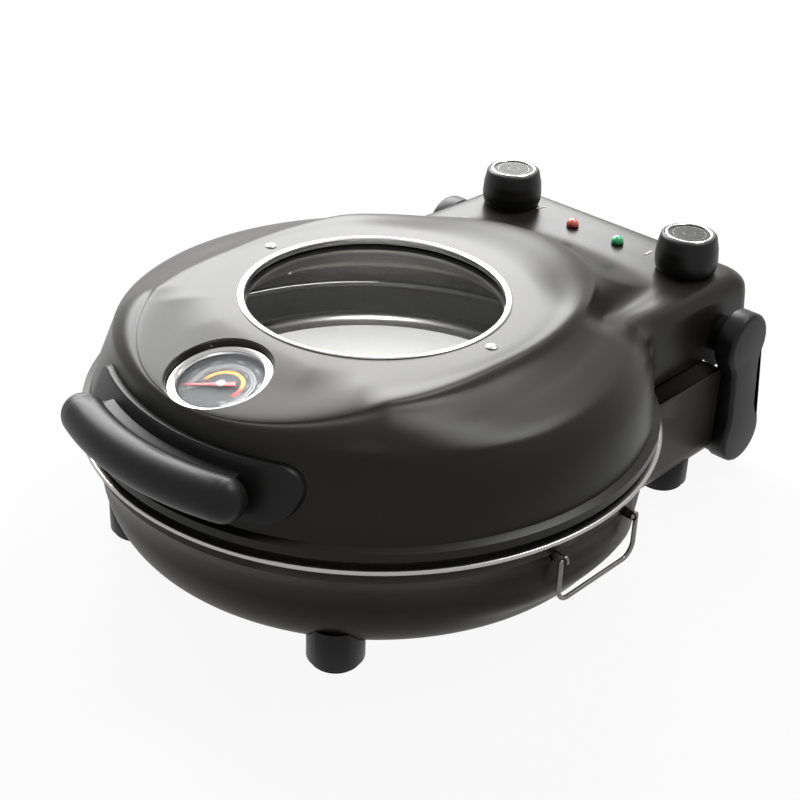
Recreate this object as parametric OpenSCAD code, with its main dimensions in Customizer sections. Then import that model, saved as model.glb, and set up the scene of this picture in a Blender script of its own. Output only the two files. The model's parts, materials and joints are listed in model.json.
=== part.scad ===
// Countertop electric pizza maker with a windowed lid, two link arms at the
// rear, two knobs, an oven gauge and a wire bail on each side of the base.
// Shapes are drawn about the plate axis with Z = 0 at the top of the rim, and
// at_plate() puts them into the row frame: origin under the middle, +Z up,
// front along -Y.

/* [Body] */
// Outer radius of the bright rim ring
rim_r = 175; // [170:1:185]
// Height of the rim above the table
rim_z = 82; // [78:1:96]
// Wall of the moulded lid and base shells
wall = 2.2; // [1.8:0.1:2.8]
// Gap between the rim and the lid's bottom edge
lid_gap = 4.6; // [3:0.1:8]
// Sheet thickness of the steel liners
sheet = 0.8; // [0.6:0.1:1.2]
// Clearance between separate pieces that do not fit closely
gap = 0.3; // [0.2:0.05:0.4]

/* [Base] */
// How far the bowl wall lies inside the rim
bowl_inset = 4; // [3:0.5:6]
// Depth of the bowl below the rim
bowl_depth = 67; // [63:1:69]
// How far the bowl wall leans in above its rounded bottom corner
bowl_lean = 7; // [5:0.5:9]
// Sideways size of the bowl's rounded bottom corner
bowl_corner_r = 24; // [20:1:30]
// Height of the bowl's rounded bottom corner
bowl_corner_h = 39; // [34:1:42]
// Half width of the rear housing
housing_half_w = 122; // [116:1:124]
// Distance from the plate axis to the housing's rear wall
housing_rear = 195; // [190:1:196]
// Rounding of the housing's lower edges
housing_round = 14; // [8:1:18]
// Radius of the pizza stone
stone_r = 127; // [120:0.5:130]
// Thickness of the pizza stone
stone_t = 10; // [8:0.5:12]
// How far the stone's top lies below the rim
stone_drop = 13; // [12:0.5:14]

/* [Feet] */
// Radius of a foot
foot_r = 16.5; // [14:0.5:18]
// Thickness of the rubber pad under a foot
pad_t = 3; // [2:0.5:4]
// Sideways place of the front feet
foot_front_x = 87; // [80:1:92]
// Distance of the front feet ahead of the plate axis
foot_front_y = 115; // [108:1:118]
// Sideways place of the rear feet
foot_rear_x = 104; // [96:1:105]
// Distance of the rear feet behind the plate axis
foot_rear_y = 168; // [158:1:170]

/* [Hinge arms] */
// Thickness of an arm across the hinge line
arm_t = 14; // [12:0.5:17]
// Space between an arm and the side of the hump
arm_stand = 9.5; // [8:0.5:11]
// Radius of an arm's two round ends
hub_r = 20.3; // [19:0.1:20.6]
// Width of the bar between the two ends
web_w = 29; // [24:1:32]
// Radius of the hollows where the ends run into the bar
arm_hollow_r = 20; // [14:1:26]
// Rounding of the arm's outer edge
arm_round = 3; // [1:0.5:4]
// Upper pivot: distance behind the plate axis
upper_y = 210; // [208:1:212]
// Upper pivot: height above the rim
upper_z = 14; // [13:0.5:16]
// Lower pivot: distance behind the plate axis
lower_y = 217; // [215:1:219]
// Lower pivot: depth below the rim
lower_z = 55; // [53:1:56]
// Radius of the hinge pins
pin_r = 4; // [3.5:0.1:4.5]
// Running clearance of the hinge pins, on the radius
pin_fit = 0.06; // [0.03:0.01:0.09]

/* [Lid] */
// How far the lid's round wall lies inside the rim
lid_inset = 6.5; // [5:0.5:10]
// How far the band round the lid's bottom edge stands out
skirt_out = 2.4; // [1:0.2:3]
// Half width of the control hump
hump_half_w = 107.5; // [104:0.5:110]
// Distance from the plate axis to the hump's rear wall
hump_rear = 248.5; // [245:0.5:252]
// Rounding of the hump's two rear corners, seen from above
hump_corner = 14; // [12:1:18]
// Height of the hump's top above the rim
hump_z = 46; // [44:0.5:50]
// Height of the window pad above the rim
top_z = 73; // [71:0.5:76]
// Half width of the raised oval
oval_half_w = 106; // [102:1:108]
// Reach of the raised oval ahead of the plate axis
oval_front = 149; // [148:0.5:149.5]
// Reach of the raised oval behind the plate axis
oval_rear = 153; // [148:1:158]
// How far the widest line of the oval lies behind the plate axis
oval_wide_y = 8; // [0:1:14]

/* [Window] */
// Middle radius of the steel window ring
window_r = 79; // [77:0.5:80]
// Thickness of the window glass
glass_t = 4; // [3:0.5:5]

/* [Gauge] */
// Outer radius of the gauge's chrome bezel
gauge_r = 29.5; // [28:0.5:29.5]
// Distance from the window ring's middle line to the middle of the gauge
gauge_gap = 41.5; // [41:0.5:42]
// Forward tilt of the gauge in degrees
gauge_tilt = 12; // [10:0.5:13]

/* [Knobs and lamps] */
// Sideways place of the knobs
knob_x = 73.7; // [70:0.5:78]
// Distance of knobs and lamps behind the plate axis
knob_y = 213; // [210:0.5:215]
// Largest radius of a knob
knob_r = 20.5; // [18:0.5:22]
// Height of a knob
knob_h = 24; // [20:0.5:26]
// Sideways place of the lamps
lamp_x = 19; // [16:0.5:24]
// Radius of a lamp lens
lamp_r = 4.2; // [3.8:0.1:5]

/* [Handle] */
// Radius of the handle's round bar
grip_r = 12.5; // [11:0.5:13.5]
// Distance from the lid's round wall to the middle of the bar
grip_out = 10; // [9.5:0.5:13]
// Height of the bar above the rim
grip_z = 34; // [32:0.5:36]
// Half angle of the bar round the lid
grip_half = 19; // [17:0.5:21]
// Half angle of the band that carries the bar
band_half = 30; // [28:0.5:32]
// Thickness of the band
band_t = 3.5; // [3:0.5:5]

/* [Bails] */
// Radius of the bail wire
wire_r = 1.4; // [1.2:0.1:1.6]
// Half the distance between a bail's two pivots
bail_half = 31; // [28:0.5:34]
// Depth of the bail pivots below the rim
bail_z = 12; // [11:0.5:14]
// Drop of a hanging bail
bail_drop = 27; // [23:0.5:30]
// Running clearance of the bail wire, on the radius
wire_fit = 0.08; // [0.04:0.01:0.1]

/* [Hidden] */
$fn = 96;

// Row frame
lid_r = rim_r - lid_inset;
grip_reach = lid_r + grip_out;
grip_front = grip_reach + grip_r;
plate_y = -(hump_rear - grip_front) / 2;
// Hinge line
arm_in = hump_half_w + arm_stand;
arm_out = arm_in + arm_t;
pin_in = hump_half_w - 17.5;
pin_out = arm_out - 5;
arm_boss_r = 12;
barrel_r = hub_r - 1.5;
barrel_end = arm_in - 0.6;
// Base
bowl_r = rim_r - bowl_inset;
ring_t = 2.8;
seat_z = -ring_t - 1.2;
ring_in = bowl_r - 6;
deck_z = -1.4;
liner_r = stone_r + 3;
ledge_z = -stone_drop - stone_t;
liner_floor = 15 - bowl_depth;
liner_floor_r = liner_r - 27;
boss_top = liner_floor - sheet - 1.2;
element_r = 3.4;
leg_x = 14;
low_loop_r = liner_r - 38;
low_loop_z = (ledge_z + liner_floor) / 2 - 1;
leg_bend = 12;
hair = 0.03;
terminal_y = 168.5;
cover_w = 120;
cover_l = 38;
cover_y = 140;
cover_t = 1.4;
cord_hole_r = 5;
// Lid
liner_rim = lid_r - wall - gap;
ceiling_r = liner_rim - 20;
ceiling_z = 40;
collar_z = top_z - 19.5;
up_loop_r = 133;
up_loop_z = ceiling_z - 9;
pad_r = window_r + 15;
pad_front = window_r + 7.5;
gauge_y = window_r + gauge_gap;
window_screw_x = window_r + 10.8;
hole_r = window_r - 1.2;
glass_r = hole_r + 3;
glass_top = top_z - wall - 0.9;
clamp_top = glass_top - glass_t - 0.1;
clamp_t = 2;
clamp_r = glass_r + 3;
gauge_z = top_z - (gauge_y - pad_front) * tan(gauge_tilt);
gauge_seat = 5.8;
knob_z = hump_z + 1.8;
knob_top_r = knob_r - 4.7;
shaft_r = 3;
pin_hole = pin_r + pin_fit;

module at_plate() translate([0, plate_y, rim_z]) children();
module both_sides() { children(); mirror([1, 0, 0]) children(); }
module x_cylinder(r, x0, x1, y, z)
  translate([x0, y, z]) rotate([0, 90, 0]) cylinder(r = r, h = x1 - x0);
function arc(cx, cy, r, a0, a1, n) =
  [for (i = [0 : n]) [cx + r * cos(a0 + (a1 - a0) * i / n),
                      cy + r * sin(a0 + (a1 - a0) * i / n)]];
function mix(a, b, t) = a + (b - a) * t;
function ease(t) = let (c = max(0, min(1, t))) c * c * (3 - 2 * c);

// Closed solid from rings of equal point counts, each ring anticlockwise seen
// from the side that the stack grows to; wrap joins the last ring to the first.
module loft(rings, wrap = false) {
  n = len(rings[0]);
  m = len(rings);
  sides = [for (j = [0 : wrap ? m - 1 : m - 2]) for (i = [0 : n - 1])
    let (a = j * n + i, b = j * n + (i + 1) % n, k = ((j + 1) % m) * n)
    each [[a, k + i, b], [b, k + i, k + (i + 1) % n]]];
  caps = wrap ? [] : [[for (i = [0 : n - 1]) i],
                      [for (i = [0 : n - 1]) m * n - 1 - i]];
  polyhedron(points = [for (r = rings) each r], faces = concat(sides, caps), convexity = 6);
}

// ---------- base ----------
function bowl_side(inset) = concat(
  [[bowl_r - inset, -10], [bowl_r - inset - 2.5, -12.5]],
  [for (a = [0 : 7.5 : 90])
    [bowl_r - bowl_lean - bowl_corner_r + (bowl_corner_r - inset) * cos(a),
     bowl_corner_h - bowl_depth - (bowl_corner_h - inset) * sin(a)]]);
module bowl_solid(inset, top) rotate_extrude()
  polygon(concat([[0, top], [bowl_r - inset, top]], bowl_side(inset),
                 [[0, inset - bowl_depth]]));
module housing_solid(inset, top) {
  w = housing_half_w - inset;
  r = housing_round - inset;
  low = inset - bowl_depth;
  rear = housing_rear - inset;
  intersection() {
    translate([0, rear, 0]) rotate([90, 0, 0]) linear_extrude(rear - 60)
      polygon(concat([[w, top], [-w, top]], arc(r - w, low + r, r, 180, 270, 6),
                     arc(w - r, low + r, r, 270, 360, 6)));
    rotate([90, 0, 90]) translate([0, 0, -w]) linear_extrude(2 * w)
      polygon(concat([[50, low], [50, top], [rear, top]],
                     arc(rear - r, low + r, r, 0, -90, 6)));
  }
}
module hinge_barrel() {
  x_cylinder(barrel_r, -barrel_end, barrel_end, lower_y, -lower_z);
  translate([-barrel_end, housing_rear - 6, -lower_z - barrel_r + 10])
    cube([2 * barrel_end, lower_y - housing_rear + 6, 2 * barrel_r - 14]);
}
module foot_places()
  for (p = [[foot_front_x, -foot_front_y], [foot_rear_x, foot_rear_y]], s = [-1, 1])
    translate([s * p[0], p[1], 0]) children();
module foot_bosses() foot_places() translate([0, 0, -bowl_depth])
  cylinder(r = 6, h = boss_top + bowl_depth);
module bail_slots() both_sides() for (s = [-1, 1])
  translate([bowl_r - 12, s * bail_half - 1.2, -bail_z - eye_r - 0.4])
    cube([20, 2.4, 2 * eye_r + 0.8]);
module cover_screw_places()
  for (x = [-1, 1], y = [6, cover_l - 6])
    translate([x * (cover_w / 2 - 6), cover_y + y, -bowl_depth]) children();
module base_shell() color("#4a443e") at_plate() difference() {
  union() {
    bowl_solid(0, seat_z);
    housing_solid(0, deck_z);
    hinge_barrel();
  }
  difference() {
    union() {
      bowl_solid(wall, seat_z + 1);
      housing_solid(wall, seat_z - wall);
    }
    foot_bosses();
  }
  translate([0, 0, seat_z]) cylinder(r = rim_r + gap, h = 10);
  both_sides() x_cylinder(pin_hole, pin_in - 2, barrel_end + 1, lower_y, -lower_z);
  bail_slots();
  foot_places() translate([0, 0, -bowl_depth - 1]) cylinder(r = 1.6, h = 20);
  translate([0, housing_rear - 8, -lower_z]) rotate([-90, 0, 0])
    cylinder(r = cord_hole_r, h = 50);
  translate([10 - cover_w / 2, cover_y + 10, -bowl_depth - 1])
    cube([cover_w - 20, cover_l - 20, wall + 2]);
  cover_screw_places() translate([0, 0, -1]) cylinder(r = 1.6, h = wall + 2);
}
module base_rim_ring() color("#d8d8d8") at_plate() rotate_extrude()
  polygon(concat([[ring_in, 0], [ring_in, -ring_t]],
                 arc(rim_r - ring_t / 2, -ring_t / 2, ring_t / 2, -90, 90, 10)));
// Section of a bent sheet: the upper line, then the same line moved down or
// outwards by the thickness t
function below(v) = [v[1], -v[0]] / norm(v);
function sheet_section(line, t) = concat(line, [for (i = [len(line) - 1 : -1 : 0])
  let (n = len(line) - 1, a = max(i, 1), b = min(i, n - 1),
       s = below(line[a] - line[a - 1]) + below(line[b + 1] - line[b]))
  line[i] + 2 * t * s / (s * s)]);
module base_liner() color("#8e8d8a") at_plate() difference() {
  rotate_extrude() polygon(sheet_section([
    [0, liner_floor], [liner_floor_r, liner_floor], [liner_floor_r + 4, liner_floor + 2.5],
    [liner_r - 15, ledge_z - 3], [liner_r - 12.5, ledge_z], [liner_r, ledge_z],
    [liner_r + 0.6, -12.5], [liner_r + 2.6, -9], [liner_r + 6, -7.6], [liner_r + 10, -9],
    [liner_r + 13, -12.4], [liner_r + 16, -13.2], [liner_r + 19, -11.6],
    [ring_in - 8, -6], [ring_in - 4, seat_z + 0.2 + sheet],
    [bowl_r - 0.5, seat_z + 0.2 + sheet]], sheet));
  for (s = [-1, 1]) translate([s * leg_x, liner_floor_r - 12, low_loop_z])
    rotate([-90, 0, 0]) cylinder(r = element_r + gap, h = 40);
}
// Tube loop whose ends bend outwards into two legs side by side, up to reach;
// each run starts a little inside the last and is a hair thinner
module element(loop_r, z, reach) {
  turn = asin((leg_x + leg_bend) / (loop_r + leg_bend));
  bend_y = (loop_r + leg_bend) * cos(turn);
  module rod(step) circle(r = element_r - step * hair, $fn = 32);
  translate([0, 0, z]) {
    rotate([0, 0, 90 + turn]) rotate_extrude(angle = 360 - 2 * turn)
      translate([loop_r, 0]) rod(0);
    both_sides() {
      translate([leg_x + leg_bend, bend_y, 0]) rotate([0, 0, 180])
        rotate_extrude(angle = 92 - turn) translate([leg_bend, 0]) rod(1);
      translate([leg_x, bend_y - 0.4, 0]) rotate([-90, 0, 0])
        linear_extrude(reach - bend_y + 0.4) rod(2);
    }
  }
}
module lower_heating_element() color("#55504b") at_plate()
  element(low_loop_r, low_loop_z, terminal_y - gap);
module lower_element_posts() color("#b9b9b7") at_plate()
  for (a = [30, 150, 270]) rotate([0, 0, a]) difference() {
    translate([low_loop_r - 7, -1, liner_floor])
      cube([14, 2, low_loop_z - liner_floor + element_r - 1]);
    translate([low_loop_r, -2, low_loop_z]) rotate([-90, 0, 0])
      cylinder(r = element_r + 0.1, h = 4);
    translate([low_loop_r - element_r - 0.1, -2, low_loop_z])
      cube([2 * element_r + 0.2, 4, 10]);
  }
module pizza_stone() color("#d9cfbd") at_plate() translate([0, 0, -stone_drop])
  rotate_extrude() polygon([[0, 0], [stone_r - 1.5, 0], [stone_r, -1.5],
    [stone_r, 1.5 - stone_t], [stone_r - 1.5, -stone_t], [0, -stone_t]]);
module rear_bottom_cover() color("#2a2826") at_plate() difference() {
  translate([-cover_w / 2, cover_y, -bowl_depth - cover_t]) cube([cover_w, cover_l, cover_t]);
  cover_screw_places() translate([0, 0, -cover_t - 1]) cylinder(r = 1.7, h = 5);
}
module bottom_cover_screws() color("#9a9a98") at_plate() cover_screw_places() {
  translate([0, 0, -cover_t - 1.6]) cylinder(r = 3, h = 1.6);
  translate([0, 0, -cover_t - 0.4]) cylinder(r = 1.5, h = 9);
}
module foot(x, y) color("#1c1b1a") at_plate() difference() {
  translate([x, y, pad_t - rim_z]) {
    cylinder(r = foot_r - 0.8, h = 1.5);
    translate([0, 0, 1]) cylinder(r = foot_r, h = rim_z - bowl_depth + 16);
  }
  bowl_solid(-gap, 0);
  translate([0, 0, boss_top]) cylinder(r = rim_r, h = 50);
  housing_solid(-gap, 0);
  translate([x, y, -rim_z]) cylinder(r = 2, h = 60);
  translate([x, y, -rim_z]) cylinder(r = 4.2, h = pad_t + 5);
}
module foot_front_left() foot(-foot_front_x, -foot_front_y);
module foot_front_right() foot(foot_front_x, -foot_front_y);
module foot_rear_left() foot(-foot_rear_x, foot_rear_y);
module foot_rear_right() foot(foot_rear_x, foot_rear_y);
module foot_pads() color("#0f0f0f") at_plate() foot_places()
  translate([0, 0, -rim_z]) rotate_extrude()
    polygon([[5, 0], [foot_r - 3, 0], [foot_r - 2, 1], [foot_r - 2, pad_t], [5, pad_t]]);
module foot_screws() color("#9a9a98") at_plate() foot_places() {
  translate([0, 0, pad_t + 2.6 - rim_z]) cylinder(r = 3.8, h = 2.4);
  translate([0, 0, pad_t + 5 - rim_z])
    cylinder(r = 1.5, h = rim_z - bowl_depth - pad_t + 4);
}
module bail_bracket() difference() {
  x0 = bowl_r - 13;
  union() {
    translate([x0, -bail_half - 0.75, -bail_z - eye_r])
      cube([1.5, 2 * bail_half + 1.5, 2 * eye_r]);
    for (s = [-1, 1]) translate([x0, s * bail_half - 0.75, -bail_z - eye_r])
      cube([bail_x - x0, 1.5, 2 * eye_r]);
    for (s = [-1, 1]) translate([bail_x, s * bail_half + 0.75, -bail_z])
      rotate([90, 0, 0]) cylinder(r = eye_r, h = 1.5);
  }
  for (s = [-1, 1]) translate([bail_x, s * bail_half + 2, -bail_z])
    rotate([90, 0, 0]) cylinder(r = wire_r + wire_fit, h = 4);
}
bail_x = bowl_r + 3.6;
eye_r = wire_r + 1.5;
module bail_bracket_right() color("#a8a8a6") at_plate() bail_bracket();
module bail_bracket_left() color("#a8a8a6") at_plate() mirror([1, 0, 0]) bail_bracket();
module cord_bush() color("#141414") at_plate()
  translate([0, lower_y, -lower_z]) rotate([-90, 0, 0]) rotate_extrude()
    polygon([[2.6, 12], [cord_hole_r - 0.2, 12], [cord_hole_r - 0.2, barrel_r + gap],
             [8, barrel_r + gap], [8, barrel_r + 3], [6, barrel_r + 4],
             [4.6, barrel_r + 11], [2.6, barrel_r + 11]]);
module terminal_block() color("#e8e4da") at_plate()
  translate([-24, terminal_y, low_loop_z - 8])
    cube([48, housing_rear - wall - gap - terminal_y, 16]);

// ---------- hinge arms ----------
// Dog-bone outline about the upper pivot, u running up the arm, shrunk by inset
function bone(inset) =
  let (span = norm([lower_y - upper_y, upper_z + lower_z]),
       r = hub_r - inset, w = web_w / 2 - inset, f = arm_hollow_r + inset,
       u = sqrt(pow(r + f, 2) - pow(w + f, 2)), a = 180 - asin((w + f) / (r + f)))
  concat(arc(0, 0, r, -a, a, 16), arc(-u, w + f, f, a - 180, -90, 4),
         arc(u - span, w + f, f, -90, -a, 4), arc(-span, 0, r, 180 - a, 180 + a, 16),
         arc(u - span, -w - f, f, a, 90, 4), arc(-u, -w - f, f, 90, 180 - a, 4));
function bone_ring(inset, x) =
  let (d = [upper_y - lower_y, upper_z + lower_z] / norm([lower_y - upper_y, upper_z + lower_z]))
  [for (p = bone(inset))
    [x, upper_y + p[0] * d[0] - p[1] * d[1], upper_z + p[0] * d[1] + p[1] * d[0]]];
module hinge_arm() difference() {
  union() {
    x_cylinder(arm_boss_r, hump_half_w + 0.6, arm_in + 1, upper_y, upper_z);
    loft(concat([bone_ring(1, arm_in), bone_ring(0, arm_in + 1)],
                [for (a = [0 : 22.5 : 90])
                  bone_ring(arm_round * (1 - cos(a)), arm_out - arm_round * (1 - sin(a)))]));
  }
  for (p = [[upper_y, upper_z], [lower_y, -lower_z]])
    x_cylinder(pin_r + 0.02, hump_half_w, pin_out + 0.1, p[0], p[1]);
}
module hinge_arm_right() color("#1d1c1b") at_plate() hinge_arm();
module hinge_arm_left() color("#1d1c1b") at_plate() mirror([1, 0, 0]) hinge_arm();
module upper_hinge_pins() color("#bcbcba") at_plate()
  both_sides() x_cylinder(pin_r, pin_in, pin_out, upper_y, upper_z);
module lower_hinge_pins() color("#bcbcba") at_plate()
  both_sides() x_cylinder(pin_r, pin_in, pin_out, lower_y, -lower_z);

// ---------- lid shell ----------
// Directions of the lid's section planes, closer together round the hump's corner
corner_a0 = atan((hump_rear - hump_corner) / hump_half_w);
corner_a1 = atan2(hump_rear, hump_half_w - hump_corner);
right_dirs = concat([for (a = [-84 : 6 : 30]) a], [for (a = [34 : 3 : 61]) a],
                    [for (i = [0 : 6]) mix(corner_a0, corner_a1, i / 6)],
                    [for (a = [72 : 3.5 : 86]) a]);
lid_dirs = concat([-90], right_dirs, [90],
                  [for (i = [len(right_dirs) - 1 : -1 : 0]) 180 - right_dirs[i]]);
// Wall sections from the bottom edge to the shoulder: inset from the plan
// outline, then height as a share of the lid's height (for the hump, of its
// own height), for the sides, the front and the hump
wall_rings = [
  [0, 0.00, 0, 0.00, 0, 0.00], [0, 0.075, 0, 0.075, 0, 0.12],
  [0, 0.10, 0, 0.10, 0, 0.17], [1, 0.27, 4, 0.27, 0.7, 0.45],
  [2.8, 0.42, 8.6, 0.42, 1.4, 0.71], [5.2, 0.53, 11.6, 0.53, 2.3, 0.82],
  [9, 0.622, 13.8, 0.622, 4.9, 0.915], [13.5, 0.695, 15.2, 0.70, 8.8, 0.978],
  [18, 0.748, 16.4, 0.757, 14, 0.999]
];
// Sections from the shoulder to the oval's edge: share of the way across, then
// for the sides the height as above, for the front the share of the climb from
// the shoulder to the edge, and for the hump a height as above, where a share
// over 1 climbs on from the hump's top towards the pad
shelf_rings = [
  [0.33, 0.818, 0.52, 1.003], [0.62, 0.872, 0.79, 1.06],
  [0.85, 0.938, 0.93, 1.45], [1, 0.975, 1, 1.68]
];
oval_square = 0.06;
function height(share) = mix(lid_gap, top_z, share);
function hump_height(share) =
  share < 1 ? mix(lid_gap, hump_z, share) : mix(hump_z, top_z, share - 1);
function folded(dir) = dir > 90 ? 180 - dir : dir;
function front_share(dir) = 1 - ease((folded(dir) + 90 - 38) / 42);
function hump_share(dir) = ease((folded(dir) - 32) / 32);
// Distance from the plate axis along a direction to the hump's outline drawn
// in by inset
function hump_reach(dir, inset) =
  let (d = [cos(dir), sin(dir)], w = hump_half_w - inset, rear = hump_rear - inset,
       c = [w - hump_corner, rear - hump_corner], dc = d * c)
  dir < atan(c[1] / w) ? w / d[0] :
  dir > atan2(rear, c[0]) ? rear / d[1] :
  dc + sqrt(dc * dc - c * c + hump_corner * hump_corner);
// Round lid and hump, each drawn in by its own inset, joined by a hollow neck
function lid_reach(dir, round_in, hump_in) =
  let (a = folded(dir), soft = 14, r = lid_r - round_in)
  a < 20 ? r :
  let (h = hump_reach(a, hump_in), near = max(0, soft - abs(h - r)) / soft)
  max(h, r) + near * near * soft / 4;
function row_reach(dir, row) = lid_reach(dir, mix(row[0], row[2], front_share(dir)), row[4]);
function oval_hit(dir, half_l) =
  let (d = [cos(dir), sin(dir)], a = pow(d[0] / oval_half_w, 2) + pow(d[1] / half_l, 2),
       b = d[1] * oval_wide_y / pow(half_l, 2), c = pow(oval_wide_y / half_l, 2) - 1)
  (b + sqrt(b * b - a * c)) / a;
function oval_reach(dir) =
  let (back = oval_hit(dir, oval_rear - oval_wide_y))
  back * sin(dir) > oval_wide_y ? back :
  oval_hit(dir, oval_front + oval_wide_y) * (1 + (folded(dir) < 0 ? oval_square * pow(sin(2 * dir), 2) : 0));
function lid_mix(dir, side, front, hump) =
  mix(mix(side, front, front_share(dir)), hump, hump_share(dir));
function polar(dir, reach, z) = [reach * cos(dir), reach * sin(dir), z];
// Flat pad round the window, cut straight where the gauge's slope begins
function pad_reach(dir) = -pad_r * sin(dir) > pad_front ? -pad_front / sin(dir) : pad_r;
// Height on the raised oval: flat round the window, falling away to the front
function oval_z(dir, reach, side, hump) =
  let (slope = top_z - max(0, -reach * sin(dir) - pad_front) * tan(gauge_tilt))
  lid_mix(dir, height(side), slope, hump_height(hump));
function wall_ring(row, out) = [for (dir = lid_dirs)
  polar(dir, row_reach(dir, row) + out * (1 - hump_share(dir)),
        lid_mix(dir, height(row[1]), height(row[3]), hump_height(row[5])))];
function shelf_reach(dir, t) =
  mix(row_reach(dir, wall_rings[len(wall_rings) - 1]), oval_reach(dir), t);
function shelf_ring(row) = [for (dir = lid_dirs)
  polar(dir, shelf_reach(dir, row[0]),
        lid_mix(dir, height(row[1]), mix(height(wall_rings[len(wall_rings) - 1][3]),
                oval_z(dir, oval_reach(dir), 1, 1), row[2]), hump_height(row[3])))];
function oval_ring(t, side, hump) = [for (dir = lid_dirs)
  let (reach = mix(oval_reach(dir), pad_reach(dir), t))
    polar(dir, reach, oval_z(dir, reach, side, hump))];
function level_ring(reach, z) = [for (dir = lid_dirs) polar(dir, reach, z)];
last_shelf = len(shelf_rings) - 1;
outer_rings = concat(
  [wall_ring(wall_rings[0], skirt_out), wall_ring(wall_rings[1], skirt_out)],
  [for (j = [2 : len(wall_rings) - 1]) wall_ring(wall_rings[j], 0)],
  [for (j = [0 : last_shelf - 1]) shelf_ring(shelf_rings[j])],
  [oval_ring(0, shelf_rings[last_shelf][1], shelf_rings[last_shelf][3]),
   oval_ring(0.5, 0.992, 1.88), [for (dir = lid_dirs) polar(dir, pad_reach(dir), top_z)],
   level_ring(hole_r, top_z)]);
function unit(v) = v / norm(v);
// The same surface moved inwards by the wall thickness
function inner_ring(j) =
  let (n = len(lid_dirs), top = len(outer_rings) - 1)
  j < 3 ? [for (i = [0 : n - 1]) polar(lid_dirs[i], lid_reach(lid_dirs[i], wall, wall),
                                       outer_rings[j][i][2])] :
  j == top ? level_ring(hole_r, top_z - wall) :
  [for (i = [0 : n - 1])
    let (along = outer_rings[j][(i + 1) % n] - outer_rings[j][(i + n - 1) % n],
         up = outer_rings[j + 1][i] - outer_rings[j - 1][i])
    outer_rings[j][i] - wall * unit(cross(along, up))];
module at_gauge() translate([0, -gauge_y, gauge_z]) rotate([gauge_tilt, 0, 0]) children();
module screw_line(dir, z, r, r0, r1) rotate([0, 0, dir - 90])
  translate([0, r0, z]) rotate([-90, 0, 0]) cylinder(r = r, h = r1 - r0);
handle_screw_dirs = [-90 - grip_half * 0.7, -90 + grip_half * 0.7];
module lid_shell() color("#3b3936") at_plate() difference() {
  union() {
    loft(concat(outer_rings, [for (j = [len(outer_rings) - 1 : -1 : 0]) inner_ring(j)]),
         wrap = true);
    at_gauge() translate([0, 0, -gauge_seat - 1.4]) cylinder(r = gauge_r + 2.6, h = 3.2);
  }
  at_gauge() {
    translate([0, 0, -gauge_seat]) cylinder(r = gauge_r + gap, h = 20);
    translate([0, 0, -20]) cylinder(r = gauge_r - 3, h = 30);
  }
  both_sides() x_cylinder(pin_r + 1, barrel_end - 12, arm_in + 2, upper_y, upper_z);
  both_sides() translate([window_screw_x, 0, 50]) cylinder(r = 2.1, h = 40);
  for (s = [-1, 1]) {
    translate([s * knob_x, knob_y, hump_z - 12]) cylinder(r = 5.1, h = 20);
    translate([s * lamp_x, knob_y, hump_z - 12]) cylinder(r = lamp_r - 0.9, h = 20);
  }
  for (dir = handle_screw_dirs) screw_line(dir, grip_z, 2.1, lid_r - 28, grip_reach - 3);
}

// ---------- inside the lid ----------
// Underside of the liner's sloped ceiling
function ceiling(r) = mix(ceiling_z, collar_z, (ceiling_r - r) / (ceiling_r - hole_r - 9.5)) - sheet;
module lid_liner() color("#8e8d8a") at_plate() difference() {
  z0 = lid_gap + 1.4;
  collar_r = hole_r + 6.4;
  rotate_extrude() polygon(sheet_section([
    [collar_r, clamp_top - clamp_t - 0.2], [collar_r, collar_z + 1.5],
    [hole_r + 9.5, collar_z], [ceiling_r, ceiling_z], [ceiling_r + 4, ceiling_z - 3],
    [liner_rim - 10, z0 + sheet], [liner_rim, z0 + sheet], [liner_rim, gap]], sheet));
  for (s = [-1, 1]) translate([s * leg_x, up_loop_r + 2, up_loop_z]) rotate([-90, 0, 0])
    cylinder(r = element_r + gap, h = 60);
  at_gauge() translate([0, 0, -60]) cylinder(r = 6.5, h = 50);
}
module upper_heating_element() color("#55504b") at_plate()
  element(up_loop_r, up_loop_z, knob_y - 28);
module upper_element_clips() color("#b9b9b7") at_plate()
  for (a = [20, 160, 235, 305]) rotate([0, 0, a]) difference() {
    z0 = up_loop_z - element_r + 1;
    r0 = up_loop_r - 6;
    r1 = up_loop_r + 6;
    translate([0, 1, 0]) rotate([90, 0, 0]) linear_extrude(2)
      polygon([[r0, z0], [r1, z0], [r1, ceiling(r1) - 0.1], [r0, ceiling(r0) - 0.1]]);
    translate([up_loop_r, -2, up_loop_z]) rotate([-90, 0, 0])
      cylinder(r = element_r + 0.1, h = 4);
    translate([up_loop_r - element_r - 0.1, -2, up_loop_z - 10])
      cube([2 * element_r + 0.2, 4, 10]);
  }
module hump_cover() color("#26241f") at_plate() difference() {
  w = hump_half_w - wall - 0.6;
  rear = hump_rear - wall - 0.6;
  r = hump_corner;
  translate([0, 0, lid_gap + 0.4]) linear_extrude(1.8)
    polygon(concat([[w, 120], [w, rear - r]], arc(w - r, rear - r, r, 0, 90, 8),
                   arc(r - w, rear - r, r, 90, 180, 8), [[-w, 120]]));
  translate([0, 0, -5]) cylinder(r = lid_r - wall + 2 * gap, h = 30);
  hump_screw_places() translate([0, 0, -10]) cylinder(r = 1.8, h = 20);
}
module hump_screw_places() both_sides() for (y = [-7, 7])
  translate([pin_in + 7, upper_y + y, lid_gap + 0.4]) children();
module hump_cover_screws() color("#9a9a98") at_plate() hump_screw_places() {
  translate([0, 0, -1.5]) cylinder(r = 3, h = 1.5);
  translate([0, 0, -0.5]) cylinder(r = 1.5, h = 5.6);
}
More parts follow.
